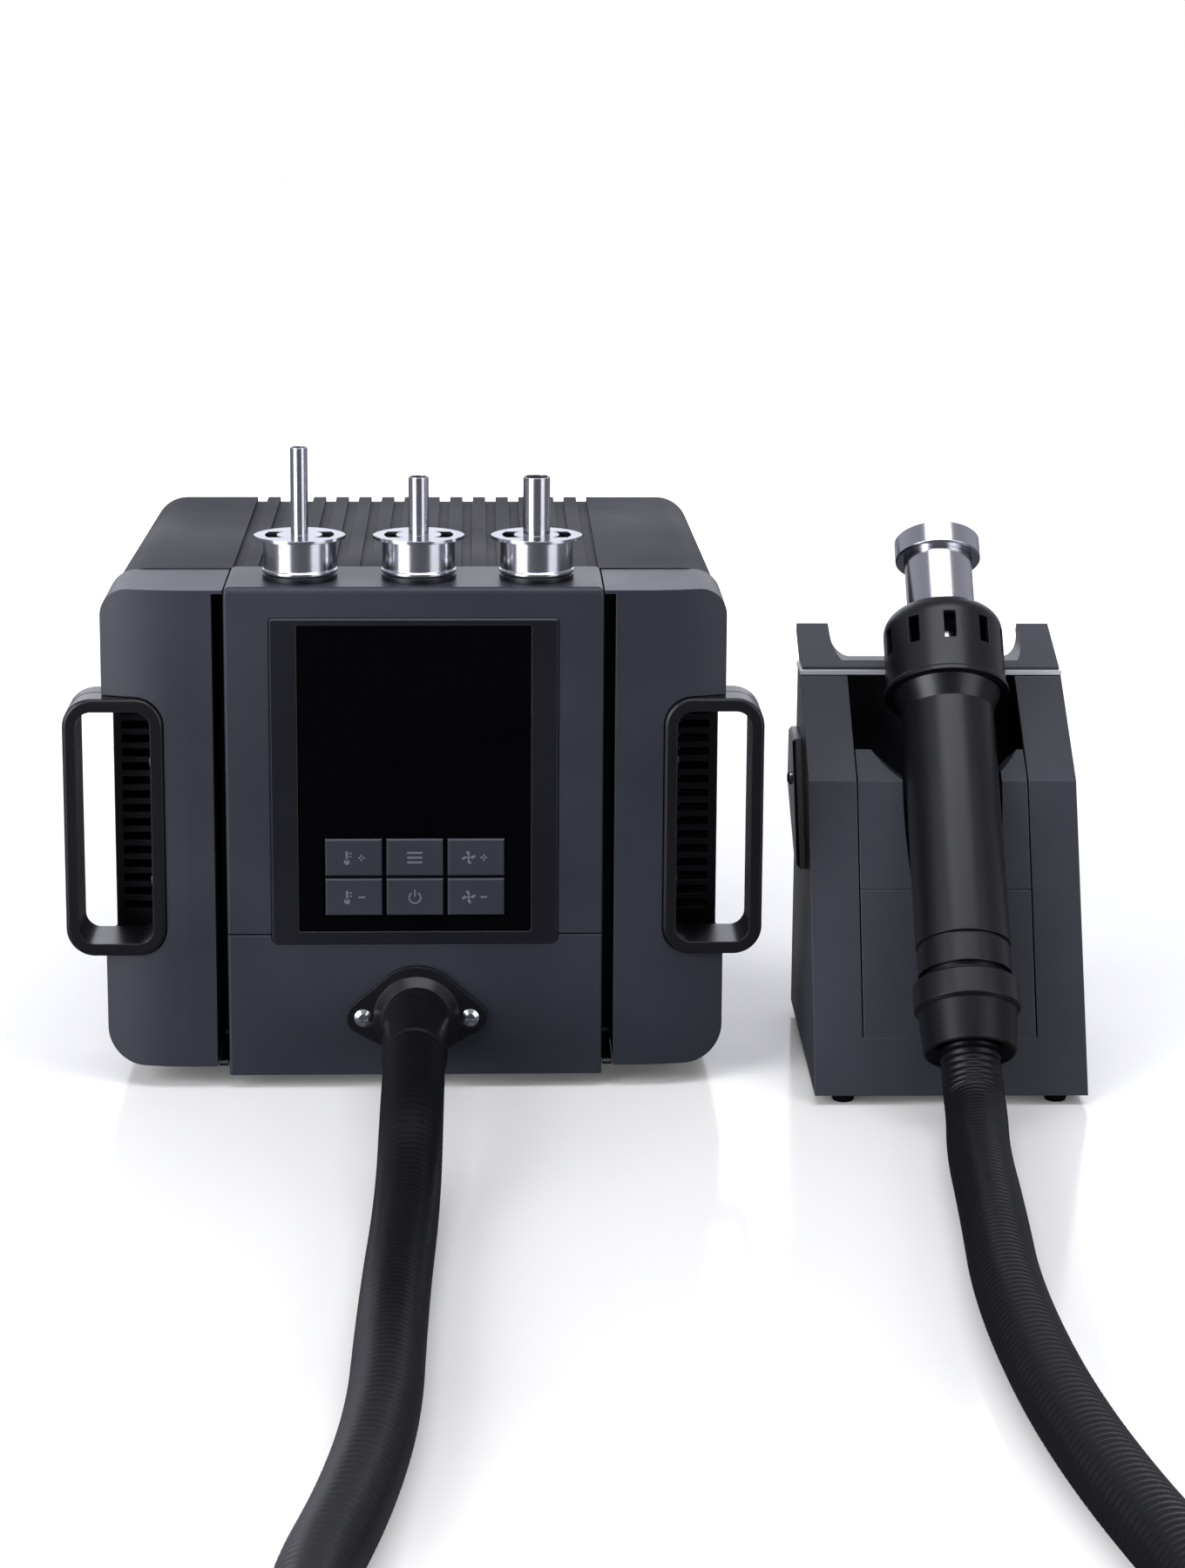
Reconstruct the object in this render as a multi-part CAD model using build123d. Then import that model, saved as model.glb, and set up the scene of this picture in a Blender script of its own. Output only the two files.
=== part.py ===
"""Hot air station: a control unit, a free-standing stand, a hot air handset and the hose between them.

Millimetres, +Z up, the front faces -Y. The station is modelled with its front face at Y = 0 and its
middle at X = 0, and the stand in its own frame with its front edge at Y = 0. At the end everything moves
so that the origin is on the floor, under the middle of the set without its hose.
"""
from build123d import *
from math import cos, pi, radians, sin, tan
import os

# Control unit
WIDTH = 238.0
TOP = 198.0
DEPTH = 206.0
FRONT_DEPTH = 42.0  # the front frame, ahead of the rear cover
CHASSIS_Y = (38.5, 41.5)  # black inner wall behind the front covers
FLOOR_GAP = 8.0  # underside of the case above the table
WALL = 2.5
GAP = 0.3  # between neighbouring covers
FRONT_CORNER = 11.0
FRONT_FOOT = 9.0  # lower edge of a side shell
FRONT_FOOT_CORNER = 14.5
COVER_CORNER = 14.0
COVER_TAPER = 3.0  # how far each side of the rear cover comes in towards the back
PANEL_HALF = 72.0  # centre panels
SHELL_INNER = 76.5  # inner edge of a side shell
SWEEP_BACK = 6.5  # how far a side shell's outer edge lies behind its inner one
PARTING = 62.4  # height of the joint between the two centre panels
PARTING_GAP = 0.7
PANEL_BOTTOM = 5.5
FIN_PITCH = 9.85
GROOVE_COUNT = 15
GROOVE_WIDTH = 4.45
GROOVE_DEPTH = 2.0
FIN_BED = TOP - 0.6 - WALL - GROOVE_DEPTH  # underside of the top where it carries the fins

# Display and keys
FRAME_HALF = 55.0
FRAME_BOTTOM = 58.1
FRAME_TOP = 186.2
GLASS_HALF = 44.4
GLASS_BOTTOM = 63.4
GLASS_TOP = 183.5
FRAME_CORNERS = (1.2, 3.0)  # upper, lower
KEY_SIZE = (21.7, 14.6)
KEY_PITCH = (23.4, 15.7)
KEY_MIDDLE = 84.95  # height of the middle of the keypad
KEY_NAMES = (("key_temp_down", "key_power", "key_flow_down"), ("key_temp_up", "key_channel", "key_flow_up"))

# Carrying rings
RING_X = (95.3, 133.5)
RING_Z = (53.8, 155.0)
RING_Y = (-0.8, 23.0)
RING_WALL = 5.0
RING_CORNER = 11.0

# Spare nozzles, left to right: outside radius of the outlet and height of its tip
NOZZLE_X = (-43.8, 1.6, 46.6)
NOZZLE_Y = 20.0
NOZZLE_OUTLETS = {"nozzle_small": (3.35, 248.5), "nozzle_medium": (3.9, 237.2), "nozzle_large": (5.2, 237.2)}
CAP_RADIUS = 13.9
CAP_BOTTOM = TOP + 2.6
CAP_TOP = 214.8
EAR_TIP = 17.5  # half the length of the flange on a cap

# Hose and its outlet on the front
HOSE_DIAMETER = 23.0
OUTLET_X = 0.5
OUTLET_Z = 29.3
COLLAR_LENGTH = 52.0
SCREW_SPREAD = 41.2

# Feet, board posts and mains inlet
FEET_X = (-85.0, 85.0)
FEET_Y = (56.0, 182.0)
BOARD_POSTS_X = (62.0, 102.0)
BOARD_POSTS_Y = (66.0, 166.0)
INLET_X = 83.0

# Blower
BLOWER_AXIS_Z = 76.0
BLOWER_Y = (138.0, 176.0)
BLOWER_RADIUS = 46.0

# Stand
STAND_PLACE = (205.6, -23.5)
STAND_TURN = -0.6  # degrees about Z
STAND_WIDTH = 105.0
STAND_GAP = 4.0
STAND_CREASE = (52.0, 115.0)
STAND_RIM = (98.0, 147.2)
STAND_BACK = 118.0
CHANNEL_HALF = 33.8
CHANNEL_BOTTOM = 24.0
PLATE_THICK = 1.8
PRONG_TIP = (132.0, 161.2)
CRADLE_HALF = 51.8
CRADLE_NOTCH_HALF = 38.8
CRADLE_SAG = 8.0  # radius of the notch's lower corners
SIDE_CAP = [(56, 78), (72, 78), (112, 100), (110, 123), (88, 123)]  # outline, as (depth, height)
SIDE_SCREW = (92, 106)

# Handset: its axis in the stand's frame, and its stations measured from its rear end
HANDSET_TILT = 50.0  # degrees above horizontal, rising to the back
HANDSET_X = 3.8
HANDSET_REAR = (-18.2, 30.8)
MOUTH_LENGTH = 4.0  # of the rear boot, round the hose behind the handset's end
BOOT_LENGTH = 12.4
COLLAR_END = 24.0
COLLAR_RADIUS = 20.2
BARREL_END = 139.0
COVER_START = 147.0
COVER_END = 183.0
TUBE_END = 214.0
NOZZLE_START = 208.0
HANDSET_LENGTH = 217.8
BARREL_RADIUS = 18.2
COVER_RADIUS = 23.8
TUBE_RADIUS = 13.6
COVER_SLOTS = 10

# Hose route from the station's collar to the handset's boot, in the station's frame
HOSE_ROUTE = [
    (0.5, -52.0, 29.3),
    (0.5, -96.0, 29.3),
    (0.0, -148.0, 11.5),
    (-3.0, -236.0, 11.5),
    (-4.0, -345.0, 11.5),
    (-28.0, -457.0, 11.5),
    (-1.0, -530.0, 11.5),
    (61.0, -573.0, 11.5),
    (136.0, -573.0, 11.5),
    (198.0, -530.0, 11.5),
    (225.0, -457.0, 11.5),
    (201.0, -345.0, 11.5),
    (195.0, -240.0, 11.5),
    (201.0, -160.0, 11.5),
    (204.0, -105.0, 11.5),
]


# ---------------------------------------------------------------- helpers
def block(x, y, z):
    """A box from its (low, high) pairs along X, Y and Z."""
    middle = [sum(pair) / 2 for pair in (x, y, z)]
    return Pos(*middle) * Box(x[1] - x[0], y[1] - y[0], z[1] - z[0])


def slab(x, z, y, corner):
    """A plate in the XZ plane with rounded corners, between two Y values."""
    outline = Pos(sum(x) / 2, sum(z) / 2) * RectangleRounded(x[1] - x[0], z[1] - z[0], corner)
    return extrude(Plane.XZ.offset(-y[0]) * outline, amount=y[0] - y[1])


def rod(radius, start, end):
    """A cylinder between two points."""
    line = Vector(*end) - Vector(*start)
    place = Plane(origin=start, z_dir=line).location
    return place * Cylinder(radius, line.length, align=(Align.CENTER, Align.CENTER, Align.MIN))


def turned(*profile):
    """A solid of revolution about Z from (radius, height) points."""
    outline = Polyline(*[(r, 0, z) for r, z in profile], close=True)
    return revolve(make_face(outline), Axis.Z)


def quarter(centre, radius, start):
    """Three points of a quarter arc in its plane: at an angle in degrees, half way and 90 degrees on."""
    turns = [radians(start + step) for step in (0, 45, 90)]
    return [(centre[0] + radius * cos(turn), centre[1] + radius * sin(turn)) for turn in turns]


def upright(x, y, z):
    """Puts a solid that was turned about Z on a vertical axis at a point."""
    return Pos(x, y, z)


def lying(x, y, z):
    """Puts a solid that was turned about Z on an axis that points forwards, to -Y."""
    return Plane(origin=(x, y, z), x_dir=(1, 0, 0), z_dir=(0, -1, 0)).location


def screw(head_radius, head_height, shaft_radius, shaft_length):
    """A cross-head screw: its shaft runs down from Z = 0 and its head stands above."""
    shaft = turned((0, -shaft_length), (shaft_radius, -shaft_length), (shaft_radius, 0), (0, 0))
    rim = head_height * 0.45
    head = turned((0, 0), (head_radius, 0), (head_radius, rim), (head_radius * 0.55, head_height),
                  (0, head_height))
    arm = head_radius * 1.1
    cut_z = (head_height * 0.45, head_height + 1)
    arms = (-arm / 2, arm / 2), (-0.35, 0.35)
    cross = block(arms[0], arms[1], cut_z) + block(arms[1], arms[0], cut_z)
    return shaft + head - cross


def mirrored(shape):
    """The same piece on the other side of the station."""
    return mirror(shape, Plane.YZ)


# ---------------------------------------------------------------- case
def cover_half(y):
    """Half the rear cover's width at a depth."""
    return WIDTH / 2 - 0.4 - COVER_TAPER * (y - FRONT_DEPTH) / (DEPTH - FRONT_DEPTH)


def cover_outline(inset, y):
    """The rear cover's outer form, moved in by inset, between two Y values."""
    low, high = FLOOR_GAP + inset, TOP - 0.6 - inset
    ends = []
    for depth in y:
        outline = RectangleRounded(2 * (cover_half(depth) - inset), high - low, COVER_CORNER - inset)
        ends.append(Plane.XZ.offset(-depth) * Pos(0, (low + high) / 2) * outline)
    return loft(ends, ruled=True)


def top_cover():
    """Top and sides of the rear case in one shell, with lengthwise fins on top."""
    y = (FRONT_DEPTH + GAP, DEPTH - 2)
    shell = cover_outline(0, y) - cover_outline(WALL, (y[0] - 1, y[1] + 1))
    shell += block((-73, 73), y, (FIN_BED, TOP - 0.6 - WALL + 0.5))
    half = WIDTH / 2
    shell -= block((-half, half), (y[0] - 1, y[1] + 1), (0, FLOOR_GAP + WALL + 1))
    for index in range(GROOVE_COUNT):
        x = (index - (GROOVE_COUNT - 1) / 2) * FIN_PITCH
        groove = (x - GROOVE_WIDTH / 2, x + GROOVE_WIDTH / 2)
        shell -= block(groove, (y[0] - 1, y[1] + 1), (TOP - 0.6 - GROOVE_DEPTH, TOP + 1))
    return shell


def base_plate():
    """Floor of the case, with air slots and the posts of the power board."""
    half = WIDTH / 2 - 7.5
    plate = block((-half, half), (FRONT_DEPTH + 1, DEPTH - 6.5), (FLOOR_GAP, FLOOR_GAP + WALL))
    for index in range(8):
        y = 70 + index * 12
        plate -= block((-105, -60), (y, y + 4), (0, 20))
    for x in BOARD_POSTS_X:
        for y in BOARD_POSTS_Y:
            plate += rod(3, (x, y, FLOOR_GAP + 1), (x, y, 18))
    for x in FEET_X:
        for y in FEET_Y:
            plate -= rod(1.7, (x, y, 0), (x, y, 20))
    return plate


def back_panel():
    """Back wall, with the intake slots and the hole for the mains inlet."""
    y = (DEPTH - 6, DEPTH - 3)
    panel = cover_outline(WALL + GAP, y)
    panel -= block((-73.4, 73.4), (y[0] - 1, y[1] + 1), (FIN_BED - GAP, TOP))
    for row in range(9):
        for column in range(4):
            x = -34 + column * 18
            z = 44 + row * 8
            panel -= slab((x, x + 14), (z, z + 3.6), (y[0] - 1, y[1] + 1), 1.7)
    panel -= block((INLET_X - 14.5, INLET_X + 14.5), (y[0] - 1, y[1] + 1), (31.5, 66.5))
    for x, z in back_screw_places():
        panel -= rod(1.6, (x, y[0] - 1, z), (x, y[1] + 1, z))
    return panel


def back_screw_places():
    """Where the screws of the back panel go."""
    return [(x, z) for x in (-106, 0, 106) for z in (20, 184)]


def front_chassis():
    """Black inner wall behind the front covers, which shows in the gaps between them."""
    y = CHASSIS_Y
    frame = slab((-113, 113), (12.4, 192), y, 12)
    frame += block((-SHELL_INNER + 0.3, SHELL_INNER - 0.3), y, (PANEL_BOTTOM + WALL + GAP, 24))
    frame -= block((-49, 49), (y[0] - 1, y[1] + 1), (66, 182))
    frame -= rod(HOSE_DIAMETER / 2 + 0.7, (OUTLET_X, y[0] - 1, OUTLET_Z), (OUTLET_X, y[1] + 1, OUTLET_Z))
    for side in (-1, 1):
        edges = sorted((side * (RING_X[0] - 4), side * 120))
        frame -= block(edges, (y[0] - 1, y[1] + 1), (RING_Z[0] - 4, RING_Z[1] + 4))
    return frame


def front_panel(x, z, open_bottom):
    """A centre cover: a face with walls that run back from it."""
    y = (0, FRONT_DEPTH)
    body = block(x, y, z)
    body = fillet(body.faces().sort_by(Axis.Y)[0].edges().filter_by(Axis.Z), 1.2)
    low = z[0] - 1 if open_bottom else z[0] + WALL
    high = z[1] - WALL if open_bottom else z[1] + 1
    body -= block((x[0] + WALL, x[1] - WALL), (3, FRONT_DEPTH + 1), (low, high))
    room = (CHASSIS_Y[0] - GAP, FRONT_DEPTH + 1)
    return body - block((x[0] - 1, x[1] + 1), room, (PANEL_BOTTOM + WALL, TOP - WALL))


def centre_panel():
    """Upper centre cover: the face round the display and the ledge that holds the nozzles."""
    panel = front_panel((-PANEL_HALF, PANEL_HALF), (PARTING, TOP), True)
    top_edge = panel.edges().filter_by(Axis.X).group_by(Axis.Z)[-1].sort_by(Axis.Y)[0]
    panel = fillet(top_edge, 2.4)
    panel -= display_hole()
    for x in NOZZLE_X:
        panel -= rod(4, (x, NOZZLE_Y, TOP - 5), (x, NOZZLE_Y, TOP + 1))
    return panel


def lower_panel():
    """Lower centre cover, with the outlet for the air hose."""
    panel = front_panel((-PANEL_HALF, PANEL_HALF), (PANEL_BOTTOM, PARTING - PARTING_GAP), False)
    panel -= display_hole()
    panel -= rod(HOSE_DIAMETER / 2 + 0.5, (OUTLET_X, -1, OUTLET_Z), (OUTLET_X, 5, OUTLET_Z))
    for side in (-1, 1):
        x = OUTLET_X + side * SCREW_SPREAD / 2
        panel -= rod(1.6, (x, -1, OUTLET_Z), (x, 5, OUTLET_Z))
    return panel


def display_outline(grow, y):
    """The display frame's outer form, grown on all sides, between two Y values."""
    x = (-FRAME_HALF - grow, FRAME_HALF + grow)
    z = (FRAME_BOTTOM - grow, FRAME_TOP + grow)
    upper, lower = FRAME_CORNERS
    return slab(x, z, y, upper + grow) & slab(x, (z[0], z[1] + 20), y, lower + grow)


def display_hole():
    """The hole that both centre covers leave for the display frame."""
    return display_outline(0.2, (-1, 4))


def shell_outline(inset, y):
    """A right-hand side shell's outer form, moved in by inset."""
    outer = WIDTH / 2 - inset
    inner = SHELL_INNER + inset
    form = slab((inner - 20, outer), (FRONT_FOOT + inset, TOP - 1 - inset), y, FRONT_CORNER - inset)
    form &= slab((inner - 60, outer), (FRONT_FOOT + inset, TOP + 60), y, FRONT_FOOT_CORNER - inset)
    return form & block((inner, outer + 1), (y[0] - 1, y[1] + 1), (0, TOP + 1))


def right_front_shell():
    """Side cover of the front frame: its face sweeps back and it is notched for the carrying ring."""
    outer = WIDTH / 2
    shell = shell_outline(0, (0, FRONT_DEPTH))
    flat_end, middle = SHELL_INNER + 10, (SHELL_INNER + 10 + outer) / 2
    sweep = ThreePointArc((flat_end, 0), (middle, SWEEP_BACK / 4), (outer + 1, SWEEP_BACK))
    sweep += Polyline((outer + 1, SWEEP_BACK), (outer + 1, -1), (flat_end, -1), (flat_end, 0))
    shell -= extrude(make_face(sweep), amount=TOP + 1)
    notch_x = (RING_X[0] - 0.3, outer + 1)
    notch_z = (RING_Z[0] - 0.3, RING_Z[1] + 0.3)
    wall_z = (notch_z[0] - WALL, notch_z[1] + WALL)
    hollow = shell_outline(WALL, (SWEEP_BACK + WALL, FRONT_DEPTH + 1))
    hollow -= block((notch_x[0] - WALL, outer + 1), (-1, FRONT_DEPTH + 2), wall_z)
    shell -= hollow
    shell -= slab((notch_x[0], outer + 20), notch_z, (-1, FRONT_DEPTH + 1), RING_CORNER)
    room = (CHASSIS_Y[0] - GAP, FRONT_DEPTH + 1)
    shell -= block((SHELL_INNER - 1, SHELL_INNER + WALL + 1), room, (FLOOR_GAP + 3, TOP - 4))
    shell += block((PANEL_HALF + 0.2, SHELL_INNER + 1), (0, FRONT_DEPTH), (TOP - 2.4, TOP - 1))
    for z in ring_screw_heights():
        shell -= rod(1.4, (80, 14, z), (96, 14, z))
    return shell


def ring_screw_heights():
    """Heights of the two screws that hold a carrying ring."""
    return (80.0, 127.0)


def right_louver():
    """Black grille that closes the back of the ring's notch, with level slats."""
    x = (RING_X[0], WIDTH / 2 - 1.6)
    y = (33.0, 41.5)
    z = (RING_Z[0], RING_Z[1])
    grille = slab((x[0], x[1] + 20), z, y, RING_CORNER - 0.3) & block(x, y, z)
    pitch = 5.6
    for index in range(15):
        low = z[0] + 9 + index * pitch
        grille -= block((x[0] + 3, x[1] - 3), (y[0] - 1, y[1] + 1), (low, low + 3.2))
    return grille


def right_ring():
    """Carrying ring at the station's side, with a seam half way through its depth."""
    ring = slab(RING_X, RING_Z, RING_Y, RING_CORNER)
    ring = fillet(ring.faces().filter_by(Axis.Y).edges(), 1.4)
    inner_x = (RING_X[0] + RING_WALL, RING_X[1] - RING_WALL)
    inner_z = (RING_Z[0] + RING_WALL, RING_Z[1] - RING_WALL)
    ring -= slab(inner_x, inner_z, (RING_Y[0] - 1, RING_Y[1] + 1), RING_CORNER - RING_WALL)
    middle = sum(RING_Y) / 2
    outer_x, outer_z = (RING_X[0] - 1, RING_X[1] + 1), (RING_Z[0] - 1, RING_Z[1] + 1)
    seam = slab(outer_x, outer_z, (middle, middle + 0.9), RING_CORNER + 1)
    core_x = (RING_X[0] + 0.7, RING_X[1] - 0.7)
    core_z = (RING_Z[0] + 0.7, RING_Z[1] - 0.7)
    seam -= slab(core_x, core_z, (middle - 1, middle + 2), RING_CORNER - 0.7)
    ring -= seam
    for z in ring_screw_heights():
        ring -= rod(1.5, (RING_X[0] - 1, 14, z), (RING_X[0] + RING_WALL + 1, 14, z))
    return ring


def ring_screws():
    """Screws through the inner legs of both carrying rings."""
    right = []
    for z in ring_screw_heights():
        place = Plane(origin=(RING_X[0] + RING_WALL, 14, z), z_dir=(1, 0, 0)).location
        right.append(place * screw(2.8, 1.6, 1.3, 12))
    return right + [mirrored(one) for one in right]


def station_feet():
    """Four rubber feet with a plug that goes up into the base plate."""
    foot = turned((0, 0), (6.8, 0), (8, 1.2), (8, FLOOR_GAP), (1.6, FLOOR_GAP), (1.6, FLOOR_GAP + 4),
                  (0, FLOOR_GAP + 4))
    return [upright(x, y, 0) * foot for x in FEET_X for y in FEET_Y]


def housing_screws():
    """Screws of the back panel."""
    backwards = Rot(-90, 0, 0)
    return [Pos(x, DEPTH - 3, z) * backwards * screw(3.2, 1.9, 1.5, 9) for x, z in back_screw_places()]


# ---------------------------------------------------------------- display and keypad
def display_frame():
    """Dark surround of the display, with a sloped rim."""
    frame = display_outline(0, (-0.7, 3.8))
    frame = chamfer(frame.faces().sort_by(Axis.Y)[0].edges(), 0.6)
    frame -= slab((-GLASS_HALF - 0.1, GLASS_HALF + 0.1), (GLASS_BOTTOM - 0.1, GLASS_TOP + 0.1), (-2, 6), 0.8)
    return frame


def display_window():
    """Black glass, open where the keys come through."""
    glass = slab((-GLASS_HALF, GLASS_HALF), (GLASS_BOTTOM, GLASS_TOP), (-0.3, 1.9), 0.7)
    half_x = KEY_PITCH[0] * 1.5 + 0.2
    half_z = KEY_PITCH[1] + 0.2
    return glass - block((-half_x, half_x), (-2, 4), (KEY_MIDDLE - half_z, KEY_MIDDLE + half_z))


def key_centre(column, row):
    """Where a key's middle is: columns 0 to 2 from the left, rows 0 and 1 from below."""
    return (column - 1) * KEY_PITCH[0], KEY_MIDDLE + (row - 0.5) * KEY_PITCH[1]


def key(column, row):
    """A key cap with a plunger behind it."""
    x, z = key_centre(column, row)
    width, height = KEY_SIZE
    cap = block((x - width / 2, x + width / 2), (-0.9, 2.2), (z - height / 2, z + height / 2))
    cap = chamfer(cap.faces().sort_by(Axis.Y)[0].edges(), 0.5)
    return cap + rod(2.2, (x, 2.1, z), (x, 4.2, z))


def keypad_mat():
    """Rubber mat with a dome behind each key."""
    mat = block((-37, 37), (5.4, 7.2), (KEY_MIDDLE - 17.5, KEY_MIDDLE + 17.5))
    for row in range(2):
        for column in range(3):
            x, z = key_centre(column, row)
            mat += rod(3.4, (x, 4.95, z), (x, 5.5, z))
    return mat


def display_module():
    """Numeric display behind the upper part of the glass."""
    body = block((-38, 38), (2.3, 7.2), (112, 178))
    return body - block((-35, 35), (1, 2.9), (115, 175))


def control_board():
    """Circuit board that carries the display and the keypad."""
    board = block((-46, 46), (7.4, 9.0), (66.2, 181.8))
    for x in (-43, 43):
        for z in (69, 179):
            board -= rod(1.6, (x, 6, z), (x, 10, z))
    return board


def control_chips():
    """Parts on the back of the control board."""
    processor = block((-9, 9), (9, 11), (118, 136))
    driver = block((16, 30), (9, 10.8), (96, 114))
    header = block((-40, -34), (9, 13.4), (84, 116))
    buzzer = rod(5.5, (-24, 9, 154), (-24, 13.4, 154))
    return [processor, driver, header, buzzer]


# ---------------------------------------------------------------- spare nozzles
def nozzle_posts():
    """Posts on the ledge that the spare nozzles are pushed over, each on a dark foot ring."""
    rest = CAP_BOTTOM - 0.1
    post = turned((0, TOP - 4), (3.9, TOP - 4), (3.9, TOP), (14.3, TOP), (14.3, rest - 0.6), (13.7, rest),
                  (9, rest), (9, rest + 7), (8, rest + 8), (0, rest + 8))
    return [upright(x, NOZZLE_Y, 0) * post for x in NOZZLE_X]


def nozzle_flange():
    """The eye-shaped flange on a spare nozzle, with a curved slot each side of the outlet."""
    tip, half_depth = EAR_TIP, CAP_RADIUS + 1.6
    eye = make_face([ThreePointArc((-tip, 0, 0), (0, y, 0), (tip, 0, 0)) for y in (-half_depth, half_depth)])
    flange = extrude(eye, amount=1.3)
    for side in (-1, 1):
        slot = Pos(0, 0, -1) * (Cylinder(13.2, 6) - Cylinder(8.4, 6))
        flange -= slot & block(sorted((side * 3, side * 20)), (-6.4, 6.4), (-2, 4))
    return flange


def spare_nozzle(x, outlet_radius, tip):
    """A steel nozzle: a cap with a beaded lower edge, a slotted flange and an outlet tube."""
    inner = CAP_RADIUS - 1.0
    bead = CAP_RADIUS + 0.5
    cap = turned((8.2, CAP_TOP - 1.2), (inner, CAP_TOP - 1.2), (inner, CAP_BOTTOM), (bead - 0.2, CAP_BOTTOM),
                 (bead, CAP_BOTTOM + 0.4), (bead, CAP_BOTTOM + 1.2), (CAP_RADIUS, CAP_BOTTOM + 1.8),
                 (CAP_RADIUS, CAP_TOP - 0.6), (8.2, CAP_TOP - 0.6))
    cap += Pos(0, 0, CAP_TOP - 1.3) * nozzle_flange()
    for side in (-1, 1):
        ends = (0, 0, CAP_TOP - 3), (0, 0, CAP_TOP + 1)
        slot = rod(13.2, *ends) - rod(8.4, *ends)
        cap -= slot & block(sorted((side * 3, side * 20)), (-6.4, 6.4), (CAP_TOP - 3, CAP_TOP + 1))
    cap += rod(8.6, (0, 0, CAP_TOP - 1.3), (0, 0, CAP_TOP))
    cap += rod(outlet_radius, (0, 0, CAP_TOP - 0.5), (0, 0, tip))
    cap -= rod(outlet_radius - 0.7, (0, 0, CAP_TOP - 5), (0, 0, tip + 1))
    return upright(x, NOZZLE_Y, 0) * cap


# ---------------------------------------------------------------- hose outlet
def hose_flange():
    """Outlet flange on the front: a raised round middle with an ear each side."""
    ear_x = SCREW_SPREAD / 2
    plate = Sketch() + Pos(0, 2.2) * Circle(18.2)
    for side in (-1, 1):
        plate += Pos(side * ear_x, 0) * Circle(6.4)
    outline = make_hull(plate.edges())
    flange = extrude(outline, amount=3.0)
    flange += turned((0, 0), (16.5, 0), (16.5, 3), (13.4, 6.5), (0, 6.5))
    flange -= Cylinder(HOSE_DIAMETER / 2 + 0.1, 40)
    for side in (-1, 1):
        flange -= Pos(side * ear_x, 0, 0) * Cylinder(1.6, 20)
        flange -= Pos(side * ear_x, 0, 2.2) * Cylinder(3.9, 4, align=(Align.CENTER, Align.CENTER, Align.MIN))
    return lying(OUTLET_X, 0, OUTLET_Z) * flange


def flange_screws():
    """The two cross-head screws of the outlet flange."""
    one = screw(3.5, 2.0, 1.5, 8)
    return [lying(OUTLET_X + side * SCREW_SPREAD / 2, -2.2, OUTLET_Z) * one for side in (-1, 1)]


def hose_collar():
    """Rubber collar that grips the hose and runs forwards out of the flange."""
    bore = HOSE_DIAMETER / 2 - 1.6
    collar = turned((bore, 6.5), (13.1, 6.5), (13.1, 9), (12.6, 11), (12.3, COLLAR_LENGTH - 1.2),
                    (11.6, COLLAR_LENGTH), (bore, COLLAR_LENGTH))
    collar += turned((bore, -8), (HOSE_DIAMETER / 2, -8), (HOSE_DIAMETER / 2, 6.6), (bore, 6.6))
    return lying(OUTLET_X, 0, OUTLET_Z) * collar


# ---------------------------------------------------------------- inside the case
def blower_housing():
    """Blower case: a drum with an inlet behind and an outlet low in front."""
    y0, y1 = BLOWER_Y
    drum = rod(BLOWER_RADIUS, (0, y0, BLOWER_AXIS_Z), (0, y1, BLOWER_AXIS_Z))
    drum -= rod(BLOWER_RADIUS - 2, (0, y0 + 2, BLOWER_AXIS_Z), (0, y1 - 2, BLOWER_AXIS_Z))
    drum -= rod(24, (0, y1 - 3, BLOWER_AXIS_Z), (0, y1 + 1, BLOWER_AXIS_Z))
    drum -= rod(6, (0, y0 - 1, BLOWER_AXIS_Z), (0, y0 + 3, BLOWER_AXIS_Z))
    drum -= rod(8.5, (OUTLET_X, y0 - 1, 44), (OUTLET_X, y0 + 3, 44))
    for side in (-1, 1):
        leg = block(sorted((side * 26, side * 34)), (y0 + 4, y1 - 4), (FLOOR_GAP + WALL, BLOWER_AXIS_Z - 30))
        drum += leg - rod(BLOWER_RADIUS - 1, (0, y0, BLOWER_AXIS_Z), (0, y1, BLOWER_AXIS_Z))
    return drum


def blower_impeller():
    """Centrifugal wheel with its shaft, turning about a lengthwise axis."""
    y0, y1 = BLOWER_Y[0] + 6, BLOWER_Y[1] - 6
    z = BLOWER_AXIS_Z
    wheel = rod(39, (0, y0, z), (0, y0 + 2, z)) + rod(13, (0, y0, z), (0, y1 - 6, z))
    blades = 12
    for index in range(blades):
        blade = block((16, 38.5), (y0 + 1.5, y1), (-0.8, 0.8))
        wheel += Pos(0, 0, z) * Rot(0, 360 * index / blades, 0) * Pos(0, 0, 4) * blade
    return wheel + rod(2, (0, y0 - 30, z), (0, y0 + 1, z))


def blower_motor():
    """Motor in front of the blower, with a bearing bore for the shaft."""
    y1 = BLOWER_Y[0]
    z = BLOWER_AXIS_Z
    motor = rod(18, (0, y1 - 34, z), (0, y1 - 4, z)) + rod(20.5, (0, y1 - 4, z), (0, y1, z))
    return motor - rod(2.05, (0, y1 - 26, z), (0, y1 + 1, z))


def air_duct():
    """Silicone duct from the blower down to the outlet on the front."""
    start = (OUTLET_X, BLOWER_Y[0], 44)
    end = (OUTLET_X, 8.2, OUTLET_Z)
    path = FilletPolyline(start, (OUTLET_X, 104, 44), (OUTLET_X, 64, OUTLET_Z), end, radius=30)
    ring = Plane(origin=start, z_dir=path % 0) * (Circle(10.4) - Circle(8.4))
    return sweep(ring, path)


def power_board():
    """Mains and heater control board on four posts."""
    board = block((56, 108), (58, 174), (18, 19.6))
    for x in BOARD_POSTS_X:
        for y in BOARD_POSTS_Y:
            board -= rod(1.5, (x, y, 17), (x, y, 21))
    return board


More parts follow.
